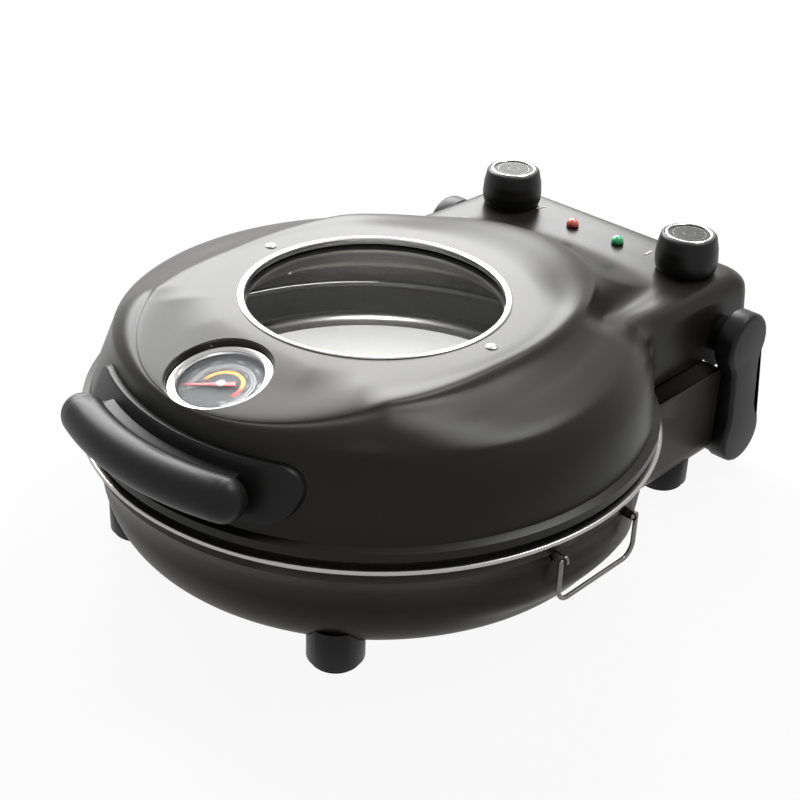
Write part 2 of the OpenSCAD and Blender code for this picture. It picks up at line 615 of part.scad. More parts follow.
module lid_hinge_block() difference() {
  z0 = lid_gap + 2.5;
  translate([pin_in - 1, upper_y - 11, z0])
    cube([hump_half_w - wall - 2.2 - pin_in + 1, 22, upper_z + 20 - z0]);
  x_cylinder(pin_hole, pin_in - 2, arm_in, upper_y, upper_z);
  hump_screw_places() cylinder(r = 1.6, h = 5.8);
}
module lid_hinge_block_right() color("#8a8a88") at_plate() lid_hinge_block();
module lid_hinge_block_left() color("#8a8a88") at_plate() mirror([1, 0, 0]) lid_hinge_block();

// ---------- window ----------
module window_ring() color("#d0d0d0") at_plate() rotate_extrude()
  polygon([[hole_r - 1.2, top_z - wall + 0.2], [hole_r - 0.2, top_z - wall + 0.2],
           [hole_r - 0.2, top_z + 0.05], [window_r + 1.4, top_z + 0.05],
           [window_r + 1.4, top_z + 0.5], [window_r + 0.8, top_z + 1],
           [window_r - 0.8, top_z + 1], [hole_r - 1.2, top_z + 0.2]]);
module window_glass() color("#a9b4b8", 0.35) at_plate()
  translate([0, 0, glass_top - glass_t]) cylinder(r = glass_r, h = glass_t);
module window_seal() color("#3a3a3a") at_plate() rotate_extrude()
  polygon([[hole_r - 1.2, glass_top + 0.05], [glass_r, glass_top + 0.05],
           [glass_r, top_z - wall - 0.05], [hole_r - 1.2, top_z - wall - 0.05]]);
module window_clamp() color("#77756f") at_plate() difference() {
  union() {
    rotate_extrude() polygon([[hole_r - 2, clamp_top - clamp_t], [clamp_r, clamp_top - clamp_t],
      [clamp_r, clamp_top], [hole_r - 2, clamp_top]]);
    both_sides() {
      translate([window_screw_x, 0, clamp_top - clamp_t])
        cylinder(r = 4, h = top_z - wall - gap - clamp_top + clamp_t);
      translate([clamp_r - 3, -3, clamp_top - clamp_t])
        cube([window_screw_x - clamp_r + 3, 6, clamp_t]);
    }
  }
  both_sides() translate([window_screw_x, 0, 40]) cylinder(r = 1.6, h = 40);
}
module window_screws() color("#cfcfcd") at_plate() both_sides()
  translate([window_screw_x, 0, 0]) {
    translate([0, 0, clamp_top - clamp_t - 1]) cylinder(r = 1.5, h = top_z - clamp_top + 4);
    translate([0, 0, top_z + 0.05]) intersection() {
      cylinder(r = 3.4, h = 1.5);
      translate([0, 0, -4]) sphere(r = 5.6);
    }
  }

// ---------- gauge ----------
gauge_in = gauge_r - 4.7;
module gauge_bezel() color("#cfcfcd") at_plate() at_gauge() rotate_extrude()
  polygon([[gauge_in, -4.4], [gauge_r, -4.4], [gauge_r, -0.8], [gauge_r - 0.5, -0.4],
           [gauge_r - 1.1, -0.6], [gauge_in + 0.6, -3.2], [gauge_in, -3.8]]);
module gauge_case() color("#5d5c58") at_plate() at_gauge() rotate_extrude()
  polygon([[3, -18], [gauge_in + 1.3, -18], [gauge_in + 1.3, -5.6], [gauge_r, -5.6],
           [gauge_r, -4.6], [gauge_in, -4.6], [gauge_in, -16.8], [3, -16.8]]);
module gauge_dial() color("#161616") at_plate() at_gauge() translate([0, 0, -16.7])
  difference() {
    cylinder(r = gauge_in - 0.2, h = 7.7);
    translate([0, 0, -1]) cylinder(r = 0.9, h = 12);
  }
module gauge_lens() color("#c8d2d4", 0.3) at_plate() at_gauge()
  translate([0, 0, -5.8]) cylinder(r = gauge_in - 0.2, h = 1);
module gauge_probe() color("#b0b0ae") at_plate() at_gauge() {
  translate([0, 0, -31]) cylinder(r = 3, h = 12.9);
  translate([0, 0, -21]) cylinder(r = 6, h = 2.9, $fn = 6);
}
needle_dir = 215;
needle_z = -8.2;
module gauge_needle() color("#d83a2a") at_plate() at_gauge()
  translate([0, 0, needle_z]) rotate([0, 0, needle_dir]) difference() {
    linear_extrude(0.6)
      polygon([[-8, -1.6], [0, -1.1], [gauge_r - 9, -0.3], [gauge_r - 9, 0.3], [0, 1.1], [-8, 1.6]]);
    translate([0, 0, -1]) cylinder(r = 0.8, h = 3);
  }
module gauge_needle_hub() color("#e9e6df") at_plate() at_gauge() {
  translate([0, 0, needle_z + 0.6]) cylinder(r = 2.2, h = 1);
  translate([0, 0, needle_z - 2.5]) cylinder(r = 0.8, h = 3.2);
}

// ---------- controls ----------
module knob(x) color("#191818") at_plate() translate([x, knob_y, knob_z]) difference() {
  rotate_extrude() polygon(concat(
    [[0, 0], [knob_r - 1.3, 0], [knob_r - 0.4, 3], [knob_r, 7], [knob_r - 0.6, 0.62 * knob_h],
     [knob_r - 1.8, 0.84 * knob_h]],
    arc(knob_top_r, knob_h - 2.6, 2.6, 24, 90, 5), [[0, knob_h]]));
  translate([0, 0, knob_h - 1.6]) cylinder(r = knob_top_r, h = 5);
  translate([0, 0, -1]) cylinder(r = 9, h = 5);
  translate([0, 0, -1]) cylinder(r = shaft_r + 0.02, h = knob_h - 5);
}
module knob_ring(x) color("#cfcfcd") at_plate() translate([x, knob_y, knob_z + knob_h])
  rotate_extrude() polygon([[knob_top_r - 2.3, -1.6], [knob_top_r - 0.2, -1.6],
    [knob_top_r - 0.2, 0.1], [knob_top_r - 0.8, 0.5], [knob_top_r - 1.7, 0.5],
    [knob_top_r - 2.3, 0.1]]);
module knob_disc(x) color("#2b2a29") at_plate() translate([x, knob_y, knob_z + knob_h - 1.6])
  cylinder(r = knob_top_r - 2.5, h = 1.2);
module control_shaft(x) color("#a8a8a6") at_plate() translate([x, knob_y, hump_z - 20])
  cylinder(r = shaft_r, h = knob_z + knob_h - hump_z + 20 - 6.2);
module control_neck(x) translate([x, knob_y, hump_z - 8]) cylinder(r = 4.7, h = 9.2);
module thermostat_knob() knob(knob_x);
module thermostat_knob_ring() knob_ring(knob_x);
module thermostat_knob_disc() knob_disc(knob_x);
module thermostat_shaft() control_shaft(knob_x);
module timer_knob() knob(-knob_x);
module timer_knob_ring() knob_ring(-knob_x);
module timer_knob_disc() knob_disc(-knob_x);
module timer_shaft() control_shaft(-knob_x);
module thermostat_body() color("#b8ad98") at_plate() difference() {
  union() {
    translate([knob_x - 12, knob_y - 12, hump_z - 21]) cube([24, 24, 18.3]);
    control_neck(knob_x);
  }
  translate([knob_x, knob_y, hump_z - 20.5]) cylinder(r = shaft_r + 0.06, h = 30);
}
module timer_body() color("#9d9c98") at_plate() difference() {
  union() {
    translate([-knob_x, knob_y, hump_z - 24]) cylinder(r = 14, h = 21.3);
    control_neck(-knob_x);
  }
  translate([-knob_x, knob_y, hump_z - 20.5]) cylinder(r = shaft_r + 0.06, h = 30);
}
module lamp(x) at_plate() translate([x, knob_y, hump_z + 0.6]) rotate_extrude()
  polygon(concat([[0, -14], [lamp_r - 1.2, -14], [lamp_r - 1.2, 0], [lamp_r, 0]],
                 arc(0, 0.8, lamp_r, 0, 90, 8)));
module lamp_red() color("#c8402e") lamp(-lamp_x);
module lamp_green() color("#2f9a57") lamp(lamp_x);

// ---------- handle ----------
front_wall = [for (row = wall_rings) [height(row[3]), lid_r - row[2]]];
band_z0 = 18;
band_z1 = 48;
band_heights = [band_z0, height(wall_rings[3][3]), height(wall_rings[4][3]),
                height(wall_rings[5][3]), band_z1];
function band_edge(off) = [for (z = band_heights) [lookup(z, front_wall) + off, z]];
function reversed(v) = [for (i = [len(v) - 1 : -1 : 0]) v[i]];
module handle_band() intersection() {
  rotate_extrude() polygon(concat(band_edge(gap), reversed(band_edge(gap + band_t))));
  h = (band_z1 - band_z0) / 2;
  w = lid_r * sin(band_half) - h;
  rotate([90, 0, 0]) linear_extrude(300) translate([0, band_z0 + h]) {
    square([2 * w, 2 * h], center = true);
    for (s = [-1, 1]) translate([s * w, 0]) circle(r = h);
  }
}
module handle_bar() {
  web = [for (z = [grip_z - 8, height(wall_rings[4][3]), grip_z + 6])
    [lookup(z, front_wall) + gap + band_t / 2, z]];
  rotate([0, 0, -90 - grip_half]) rotate_extrude(angle = 2 * grip_half) {
    translate([grip_reach, grip_z]) circle(r = grip_r, $fn = 48);
    polygon(concat(web, [[grip_reach, grip_z + 6], [grip_reach, grip_z - 8]]));
  }
  for (s = [-1, 1]) rotate([0, 0, -90 + s * grip_half])
    translate([grip_reach, 0, grip_z]) sphere(r = grip_r - hair, $fn = 48);
}
module handle() color("#1a1919") at_plate() difference() {
  union() {
    handle_band();
    handle_bar();
  }
  for (dir = handle_screw_dirs) screw_line(dir, grip_z, 1.6, lid_r - 18, grip_reach - 3);
}
module handle_screws() color("#9a9a98") at_plate() for (dir = handle_screw_dirs) {
  head_r = lookup(grip_z + 3, front_wall) - wall - 3.4;
  screw_line(dir, grip_z, 1.5, head_r + 1.8, grip_reach - 4.5);
  screw_line(dir, grip_z, 3, head_r, head_r + 1.9);
}

// ---------- bails ----------
module bail() {
  y = bail_half + 0.75 + 0.4 + wire_r;
  bend = 9;
  low = -bail_z - bail_drop;
  module wire(h) cylinder(r = wire_r, h = h, $fn = 32);
  translate([bail_x, 0, 0]) for (s = [-1, 1]) {
    translate([0, s * y, -bail_z]) sphere(r = wire_r, $fn = 32);
    translate([0, s * y, -bail_z]) rotate([s * 90, 0, 0]) wire(5);
    translate([0, s * y, low + bend]) wire(bail_drop - bend);
    translate([0, s * (y - bend), low + bend]) rotate([90, 0, 90])
      rotate([0, 0, s > 0 ? 270 : 180]) rotate_extrude(angle = 90)
        translate([bend, 0]) circle(r = wire_r, $fn = 32);
  }
  translate([bail_x, bend - y, low]) rotate([-90, 0, 0]) wire(2 * (y - bend));
}
module bail_right() color("#c9c9c7") at_plate() bail();
module bail_left() color("#c9c9c7") at_plate() mirror([1, 0, 0]) bail();

base_shell();
base_rim_ring();
base_liner();
lower_heating_element();
lower_element_posts();
pizza_stone();
rear_bottom_cover();
bottom_cover_screws();
foot_front_left();
foot_front_right();
foot_rear_left();
foot_rear_right();
foot_pads();
foot_screws();
bail_bracket_left();
bail_bracket_right();
cord_bush();
terminal_block();
hinge_arm_left();
hinge_arm_right();
upper_hinge_pins();
lower_hinge_pins();
lid_shell();
lid_liner();
hump_cover();
hump_cover_screws();
lid_hinge_block_left();
lid_hinge_block_right();
upper_heating_element();
upper_element_clips();
window_ring();
window_glass();
window_seal();
window_clamp();
window_screws();
gauge_bezel();
gauge_case();
gauge_dial();
gauge_lens();
gauge_probe();
handle();
handle_screws();
lamp_red();
lamp_green();
thermostat_body();
timer_body();
thermostat_knob();
thermostat_knob_ring();
thermostat_knob_disc();
thermostat_shaft();
timer_knob();
timer_knob_ring();
timer_knob_disc();
timer_shaft();
gauge_needle();
gauge_needle_hub();
bail_left();
bail_right();
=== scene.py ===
import json
import math
import bmesh
import bpy
from mathutils import Matrix, Vector


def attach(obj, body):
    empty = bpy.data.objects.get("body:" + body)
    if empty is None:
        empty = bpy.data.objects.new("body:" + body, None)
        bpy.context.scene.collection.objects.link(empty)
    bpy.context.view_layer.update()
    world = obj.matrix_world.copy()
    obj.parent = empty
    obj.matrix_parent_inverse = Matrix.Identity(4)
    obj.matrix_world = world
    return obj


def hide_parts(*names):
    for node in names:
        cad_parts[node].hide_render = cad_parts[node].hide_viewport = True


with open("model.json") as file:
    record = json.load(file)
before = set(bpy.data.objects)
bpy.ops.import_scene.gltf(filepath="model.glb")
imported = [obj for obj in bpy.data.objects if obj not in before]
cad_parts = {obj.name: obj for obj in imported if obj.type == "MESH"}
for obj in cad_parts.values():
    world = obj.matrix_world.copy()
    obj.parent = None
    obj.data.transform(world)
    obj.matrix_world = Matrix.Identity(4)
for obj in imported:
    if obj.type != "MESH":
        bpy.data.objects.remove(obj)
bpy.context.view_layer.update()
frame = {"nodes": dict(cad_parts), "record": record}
NODES = frame["nodes"]
BODY_OF = {node: body for body, nodes in frame["record"]["behaviour"]["bodies"].items()
           for node in nodes}
SLOT_OF = {part["node"]: part["material_slot"] for part in frame["record"]["subparts"]}

# Sizes in millimetres about the plate axis, as the solids have them, except for SKIRT_OUT,
# by which the lid's lower bead stands 2 further out
PLATE_Y = -28.75
RIM_Z = 82
LID_GAP, TOP_Z, HUMP_Z = 4.6, 73, 46
LID_R, SKIRT_OUT, WALL = 168.5, 4.4, 2.2
HUMP_HALF_W, HUMP_REAR, HUMP_CORNER = 107.5, 248.5, 14
OVAL_HALF_W, OVAL_FRONT, OVAL_REAR, OVAL_WIDE_Y, OVAL_SQUARE = 106, 149, 153, 8, 0.06
HOLE_R, PAD_R, PAD_FRONT = 77.8, 94, 86.5
GAUGE_R, GAUGE_TILT, GAUGE_SEAT = 29.5, 12, 5.8
GAUGE_GAP, GAUGE_LEDGE, GAUGE_OUT = 0.3, 3, 34
GAUGE_Y = PAD_FRONT + GAUGE_OUT
GAUGE_Z = TOP_Z - GAUGE_OUT * math.tan(math.radians(GAUGE_TILT))
DIAL_R, DIAL_TOP = 24.6, -9.0
KNOB_X, KNOB_Y, KNOB_TOP = 73.7, 213, 71.8
WINDOW_SCREW_X, SCREW_HOLE_R = 89.8, 2.1
ROW = Matrix.Translation(Vector((0, PLATE_Y, RIM_Z)) / 1000) @ Matrix.Scale(0.001, 4)
GAUGE = (ROW @ Matrix.Translation((0, -GAUGE_Y, GAUGE_Z))
         @ Matrix.Rotation(math.radians(GAUGE_TILT), 4, "X"))


def row(x, y, z):
    """A point about the plate axis in millimetres, in the row frame in metres."""
    return ROW @ Vector((x, y, z))


# ---------- camera ----------
CAMERA_AT = (589.2584, -617.9623, 494.351)
CAMERA_RIGHT = Vector((0.72387852, 0.689155, 0.03263854))
CAMERA_UP = Vector((-0.36513241, 0.34253246, 0.86564995))
CAMERA_FORWARD = Vector((-0.58538723, 0.63854279, -0.49958472))
CAMERA_LENS = 73.234


def set_camera():
    turn = Matrix((CAMERA_RIGHT, CAMERA_UP, -CAMERA_FORWARD)).transposed().to_4x4()
    data = bpy.data.cameras.new("camera")
    data.sensor_width = 36
    data.lens = CAMERA_LENS
    data.clip_end = 20
    camera = bpy.data.objects.new("camera", data)
    camera.matrix_world = Matrix.Translation(row(*CAMERA_AT)) @ turn
    bpy.context.scene.collection.objects.link(camera)
    bpy.context.scene.camera = camera


# ---------- node helpers ----------
class Shader:
    """Short names for building a node tree."""

    def __init__(self, tree):
        self.tree = tree

    def node(self, kind, values=(), **settings):
        n = self.tree.nodes.new(kind)
        for key, value in settings.items():
            setattr(n, key, value)
        for key, value in dict(values).items():
            n.inputs[key].default_value = value
        return n

    def link(self, out, into):
        self.tree.links.new(out, into)

    def math(self, operation, a, b=None, clamp=False):
        n = self.node("ShaderNodeMath", operation=operation, use_clamp=clamp)
        for i, v in enumerate((a, b)):
            if v is None:
                continue
            if isinstance(v, (int, float)):
                n.inputs[i].default_value = v
            else:
                self.link(v, n.inputs[i])
        return n.outputs[0]


def shader_group(name, inputs, outputs, build):
    """A shader node group of plain values: inputs are (name, default), outputs are names."""
    group = bpy.data.node_groups.new(name, "ShaderNodeTree")
    group.interface.new_socket("Vector", in_out="INPUT", socket_type="NodeSocketVector")
    for label, value in inputs:
        socket = group.interface.new_socket(label, in_out="INPUT", socket_type="NodeSocketFloat")
        socket.default_value = value
    for label in outputs:
        group.interface.new_socket(label, in_out="OUTPUT", socket_type="NodeSocketFloat")
    s = Shader(group)
    build(s, s.node("NodeGroupInput").outputs, s.node("NodeGroupOutput").inputs)
    return group


def build_grain(s, given, out):
    """Fine even texture with slow clouding over it."""
    fine = s.node("ShaderNodeTexNoise", {"Detail": 2.0, "Roughness": 0.6})
    s.link(given["Vector"], fine.inputs["Vector"])
    s.link(given["Grain Scale"], fine.inputs["Scale"])
    cloud = s.node("ShaderNodeTexNoise", {"Scale": 9.0, "Detail": 3.0})
    s.link(given["Vector"], cloud.inputs["Vector"])
    s.link(fine.outputs["Fac"], out["Grain"])
    low = s.math("SUBTRACT", cloud.outputs["Fac"], 0.5)
    fine_part = s.math("SUBTRACT", fine.outputs["Fac"], 0.5)
    total = s.math("ADD", s.math("MULTIPLY", low, given["Clouding"]),
                   s.math("MULTIPLY", fine_part, given["Graining"]))
    s.link(s.math("ADD", total, given["Roughness"], clamp=True), out["Roughness"])


def build_brushed(s, given, out):
    """Fine lines round the plate axis, as turned and polished rings have."""
    split = s.node("ShaderNodeSeparateXYZ")
    s.link(given["Vector"], split.inputs[0])
    x, y, z = split.outputs
    radius = s.math("SQRT", s.math("ADD", s.math("MULTIPLY", x, x), s.math("MULTIPLY", y, y)))
    along = s.node("ShaderNodeCombineXYZ")
    s.link(s.math("MULTIPLY", radius, given["Lines"]), along.inputs[0])
    s.link(s.math("MULTIPLY", z, given["Lines"]), along.inputs[1])
    lines = s.node("ShaderNodeTexNoise", {"Scale": 1.0, "Detail": 3.0})
    s.link(along.outputs[0], lines.inputs["Vector"])
    s.link(lines.outputs["Fac"], out["Lines"])
    part = s.math("MULTIPLY", s.math("SUBTRACT", lines.outputs["Fac"], 0.5), given["Spread"])
    s.link(s.math("ADD", part, given["Roughness"], clamp=True), out["Roughness"])


GRAIN = shader_group(
    "fine_grain",
    [("Grain Scale", 900.0), ("Graining", 0.1), ("Clouding", 0.1), ("Roughness", 0.4)],
    ["Grain", "Roughness"], build_grain)
BRUSHED = shader_group(
    "turned_lines", [("Lines", 1500.0), ("Spread", 0.1), ("Roughness", 0.2)],
    ["Lines", "Roughness"], build_brushed)


def new_material(name):
    m = bpy.data.materials.new(name)
    m.use_nodes = True
    s = Shader(m.node_tree)
    return m, s, m.node_tree.nodes["Principled BSDF"]


def grained(name, color, roughness, metallic=0.0, specular=0.5, grain=900.0, bump=0.05,
            tint=0.06, graining=0.1, clouding=0.08, coat=0.0, coat_roughness=0.2):
    """Paint, plastic or rubber with an even fine grain."""
    m, s, bsdf = new_material(name)
    where = s.node("ShaderNodeTexCoord").outputs["Object"]
    g = s.node("ShaderNodeGroup", node_tree=GRAIN)
    for key, value in (("Grain Scale", grain), ("Graining", graining), ("Clouding", clouding),
                       ("Roughness", roughness)):
        g.inputs[key].default_value = value
    s.link(where, g.inputs["Vector"])
    s.link(g.outputs["Roughness"], bsdf.inputs["Roughness"])
    blend = s.node("ShaderNodeMix", data_type="RGBA")
    blend.inputs[6].default_value = (*[c * (1 - tint) for c in color], 1)
    blend.inputs[7].default_value = (*[min(1, c * (1 + tint)) for c in color], 1)
    s.link(g.outputs["Grain"], blend.inputs[0])
    s.link(blend.outputs[2], bsdf.inputs["Base Color"])
    height = s.node("ShaderNodeBump", {"Strength": bump, "Distance": 0.0002})
    s.link(g.outputs["Grain"], height.inputs["Height"])
    s.link(height.outputs[0], bsdf.inputs["Normal"])
    bsdf.inputs["Metallic"].default_value = metallic
    bsdf.inputs["Specular IOR Level"].default_value = specular
    bsdf.inputs["Coat Weight"].default_value = coat
    bsdf.inputs["Coat Roughness"].default_value = coat_roughness
    return m


def turned(name, color, roughness, lines=1500.0, spread=0.12):
    """Polished or satin metal with fine turned lines about the plate axis."""
    m, s, bsdf = new_material(name)
    place = s.node("ShaderNodeMapping")
    place.inputs["Location"].default_value = (0, -PLATE_Y / 1000, 0)
    s.link(s.node("ShaderNodeTexCoord").outputs["Object"], place.inputs["Vector"])
    g = s.node("ShaderNodeGroup", node_tree=BRUSHED)
    g.inputs["Lines"].default_value = lines
    g.inputs["Spread"].default_value = spread
    g.inputs["Roughness"].default_value = roughness
    s.link(place.outputs[0], g.inputs["Vector"])
    s.link(g.outputs["Roughness"], bsdf.inputs["Roughness"])
    height = s.node("ShaderNodeBump", {"Strength": 0.02, "Distance": 0.0001})
    s.link(g.outputs["Lines"], height.inputs["Height"])
    s.link(height.outputs[0], bsdf.inputs["Normal"])
    bsdf.inputs["Base Color"].default_value = (*color, 1)
    bsdf.inputs["Metallic"].default_value = 1.0
    return m


def clear(name, color, ior):
    """Glass that lets the lamps shine straight through."""
    m, s, bsdf = new_material(name)
    bsdf.inputs["Base Color"].default_value = (*color, 1)
    bsdf.inputs["Roughness"].default_value = 0.02
    bsdf.inputs["IOR"].default_value = ior
    bsdf.inputs["Transmission Weight"].default_value = 1.0
    path = s.node("ShaderNodeLightPath")
    through = s.node("ShaderNodeBsdfTransparent")
    mixed = s.node("ShaderNodeMixShader")
    s.link(path.outputs["Is Shadow Ray"], mixed.inputs[0])
    s.link(bsdf.outputs[0], mixed.inputs[1])
    s.link(through.outputs[0], mixed.inputs[2])
    s.link(mixed.outputs[0], s.tree.nodes["Material Output"].inputs["Surface"])
    return m


MATERIALS = {
    "lid_paint": grained("lid_paint", (0.015, 0.0133, 0.0113), 0.33, specular=0.17,
                         grain=2600, bump=0.03, tint=0.2, graining=0.05, clouding=0.03),
    "base_paint": grained("base_paint", (0.02, 0.0158, 0.0122), 0.4, specular=0.12,
                          grain=2600, bump=0.03, tint=0.2, graining=0.05, clouding=0.03),
    "rim_steel": turned("rim_steel", (0.38, 0.37, 0.355), 0.3),
    "bail_steel": turned("bail_steel", (0.16, 0.155, 0.15), 0.25),
    # The lid's liner is the base liner's steel made darker: painted shade for the inside of the
    # closed lid
    "shaded_lid_liner_steel": turned("shaded_lid_liner_steel", (0.085, 0.082, 0.078), 0.3, lines=900),
    "liner_steel": turned("liner_steel", (0.22, 0.215, 0.205), 0.3, lines=900),
    "element_sheath": grained("element_sheath", (0.17, 0.15, 0.13), 0.5, metallic=0.8),
    "zinc_steel": grained("zinc_steel", (0.4, 0.4, 0.39), 0.38, metallic=1.0, tint=0.04),
    "stone": grained("stone", (0.84, 0.83, 0.8), 0.85, specular=0.2, grain=700, bump=0.35,
                     tint=0.05),
    "black_plastic": grained("black_plastic", (0.008, 0.0077, 0.0074), 0.4, specular=0.2,
                             grain=1600, bump=0.1, tint=0.1),
    "rubber": grained("rubber", (0.02, 0.02, 0.02), 0.75, specular=0.3, bump=0.1),
    "window_glass": clear("window_glass", (0.97, 0.98, 0.98), ior=1.02),
    "silicone": grained("silicone", (0.09, 0.09, 0.088), 0.7),
    "chrome": turned("chrome", (0.45, 0.45, 0.44), 0.2, spread=0.05),
    "gauge_face": grained("gauge_face", (0.018, 0.018, 0.024), 0.5, specular=0.2, grain=1800,
                          bump=0.02),
    "gauge_glass": clear("gauge_glass", (0.98, 0.99, 0.99), ior=1.07),
    "needle_red": grained("needle_red", (0.7, 0.03, 0.03), 0.4),
    "needle_hub": grained("needle_hub", (0.8, 0.77, 0.66), 0.4),
    "knob_plastic": grained("knob_plastic", (0.008, 0.0077, 0.0074), 0.38, specular=0.22,
                            grain=1600, bump=0.08, tint=0.1),
    "knob_disc": grained("knob_disc", (0.012, 0.0115, 0.011), 0.4, specular=0.1, grain=1600,
                         bump=0.03),
    "lamp_red": grained("lamp_red", (0.85, 0.13, 0.08), 0.25, coat=0.5, coat_roughness=0.08),
    "lamp_green": grained("lamp_green", (0.02, 0.55, 0.19), 0.25, coat=0.5, coat_roughness=0.08),
    "ceramic": grained("ceramic", (0.82, 0.8, 0.74), 0.3),
    "control_case": grained("control_case", (0.45, 0.41, 0.34), 0.5),
}
PRINT_WHITE = grained("print_white", (0.55, 0.56, 0.56), 0.6, specular=0.2, bump=0.01)
PRINT_BAND = grained("print_band", (0.05, 0.05, 0.058), 0.6, specular=0.2, bump=0.01)
PRINT_ORANGE = grained("print_orange", (0.8, 0.3, 0.07), 0.6, specular=0.2, bump=0.01)
PRINT_RED = grained("print_red", (0.72, 0.06, 0.04), 0.6, specular=0.2, bump=0.01)
FINE_RING = grained("fine_ring", (0.16, 0.15, 0.14), 0.35, metallic=0.6, bump=0.01)
DECK_WHITE = grained("deck_white", (0.62, 0.61, 0.58), 0.6, specular=0.2, bump=0.01)


def finish_node(name, slot):
    """Gives a carried-over solid its finish."""
    data = NODES[name].data
    data.materials.clear()
    data.materials.append(MATERIALS[slot])


# ---------- mesh helpers ----------
def object_from(bm, name, materials, smooth=True, sharp=None):
    """A new object from bm, with outward normals, smooth where edges turn less than sharp."""
    bmesh.ops.recalc_face_normals(bm, faces=bm.faces)
    data = bpy.data.meshes.new(name)
    bm.to_mesh(data)
    bm.free()
    for m in materials:
        data.materials.append(m)
    if smooth:
        data.shade_smooth()
        if sharp:
            data.set_sharp_from_angle(angle=math.radians(sharp))
    obj = bpy.data.objects.new(name, data)
    bpy.context.scene.collection.objects.link(obj)
    return obj


def placed(obj, node):
    """obj stands for a CAD node, whose solid it hides, and rides on its body."""
    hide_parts(node)
    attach(obj, BODY_OF[node])
    return obj


def smooth_copy(node, sharp=35, bevel=0.0, finish=None):
    """The node's own shape with merged corners, smooth shading and softened edges."""
    bm = bmesh.new()
    bm.from_mesh(NODES[node].data)
    bmesh.ops.remove_doubles(bm, verts=bm.verts, dist=2e-6)
    bmesh.ops.dissolve_limit(bm, angle_limit=math.radians(0.5), verts=bm.verts, edges=bm.edges)
    if bevel:
        edges = [e for e in bm.edges
                 if e.is_manifold and e.calc_face_angle(0) > math.radians(sharp)]
        bmesh.ops.bevel(bm, geom=edges, offset=bevel / 1000, offset_type="OFFSET", segments=2,
                        profile=0.5, affect="EDGES", clamp_overlap=True, material=-1)
    bmesh.ops.triangulate(bm, faces=[f for f in bm.faces if len(f.verts) > 4])
    material = MATERIALS[finish or SLOT_OF[node]]
    return placed(object_from(bm, node + "_skin", [material], sharp=sharp), node)


# The bowl stands fuller behind the bails: its distance from the axis by height
FULL_SIDE = [(-12.5, 170.6), (-20, 170.6), (-39, 169.0), (-46, 164.5), (-53, 155), (-60, 140)]
FULL_HALF_W, FULL_FADE, FULL_REAR, FULL_FROM_R = 88, 50, 100, 135


def bowl_skin():
    """The base with the fuller side that each bail hangs against."""
    obj = smooth_copy("base_shell", sharp=32)
    for v in obj.data.vertices:
        x, y, z = ROW.inverted() @ v.co
        reach = math.hypot(x, y)
        if reach < FULL_FROM_R or y > FULL_REAR:
            continue
        if not FULL_SIDE[-1][0] < z < FULL_SIDE[0][0] - 0.1:
            continue
        lower, upper = next((b, a) for a, b in zip(FULL_SIDE, FULL_SIDE[1:]) if b[0] <= z)
        full = mix(lower[1], upper[1], (z - lower[0]) / (upper[0] - lower[0]))
        share = ease((FULL_HALF_W - abs(y)) / FULL_FADE)
        scale = 1 + share * max(0, full - reach) / reach
        v.co = row(x * scale, y * scale, z)
    return obj


def spun(name, outline, material, matrix, steps=192):
    """A turned piece: the outline is (radius, height) points in millimetres."""
    bm = bmesh.new()
    verts = [bm.verts.new((r, 0, z)) for r, z in outline]
    edges = [bm.edges.new(pair) for pair in zip(verts, verts[1:] + verts[:1])]
    bmesh.ops.spin(bm, geom=verts + edges, cent=(0, 0, 0), axis=(0, 0, 1), steps=steps,
                   angle=2 * math.pi, use_merge=True)
    bmesh.ops.remove_doubles(bm, verts=bm.verts, dist=1e-4)
    bmesh.ops.transform(bm, matrix=matrix, verts=bm.verts)
    return object_from(bm, name, [material], sharp=40)


def arc(x, z, r, start, end, steps):
    """Points on an arc, angles in degrees."""
    turns = [math.radians(start + (end - start) * i / steps) for i in range(steps + 1)]
    return [(x + r * math.cos(t), z + r * math.sin(t)) for t in turns]


# ---------- lid surface ----------
# Sections from the lid's lower edge to the shoulder, each as a pair of inset in
# millimetres and share of the way up, for the sides, the front and the hump
WALL_ROWS = [
    (0, 0, 0, 0, 0, 0), (0, 0.075, 0, 0.075, 0, 0.12), (0, 0.10, 0, 0.10, 0, 0.17),
    (1, 0.27, 4, 0.27, 0.7, 0.45), (2.8, 0.42, 8.6, 0.42, 1.4, 0.71),
    (5.2, 0.53, 11.6, 0.53, 2.3, 0.82), (9, 0.622, 13.8, 0.622, 4.9, 0.915),
    (13.5, 0.695, 15.2, 0.70, 8.8, 0.978), (18, 0.748, 16.4, 0.757, 14, 0.999),
]
# Sections from the shoulder to the raised oval's edge: share of the way across,
# then the heights for the sides, the front and the hump
SHELF_ROWS = [(0.33, 0.815, 0.52, 1.003), (0.62, 0.862, 0.79, 1.06), (0.88, 0.926, 0.91, 1.45)]
FRONT_SHOULDER = 0.757
# The same inside the oval: share of the way to the window's pad, then heights for the sides
# and the hump
OVAL_ROWS = [(0, 0.984, 1.7), (0.5, 0.995, 1.88)]
# Directions in degrees where the front ends and the hump starts, and the width of each fade
FRONT_FROM, FRONT_OVER = -52, 42
HUMP_FROM, HUMP_OVER = 32, 32
# Below this direction the lid is plainly round; above it the neck's hollow may start
ROUND_BELOW, NECK_SOFT = 20, 14
# How far the hump's lower edge reaches below the round lid's, along it and at the rear,
# where the apron starts and how fast it grows
SKIRT_DROP, APRON_DROP, APRON_FROM, APRON_OVER = 5.2, 10, 196, 12
CURVE_STEPS = 5
TURN_STEP, CORNER_STEPS, CORNER_CLEAR = 1.25, 10, 0.4


def mix(a, b, t):
    return a + (b - a) * t


def ease(t):
    t = max(0, min(1, t))
    return t * t * (3 - 2 * t)


def cos(degrees):
    return math.cos(math.radians(degrees))


def sin(degrees):
    return math.sin(math.radians(degrees))


def folded(turn):
    return 180 - turn if turn > 90 else turn


def front_share(turn):
    return 1 - ease((folded(turn) - FRONT_FROM) / FRONT_OVER)


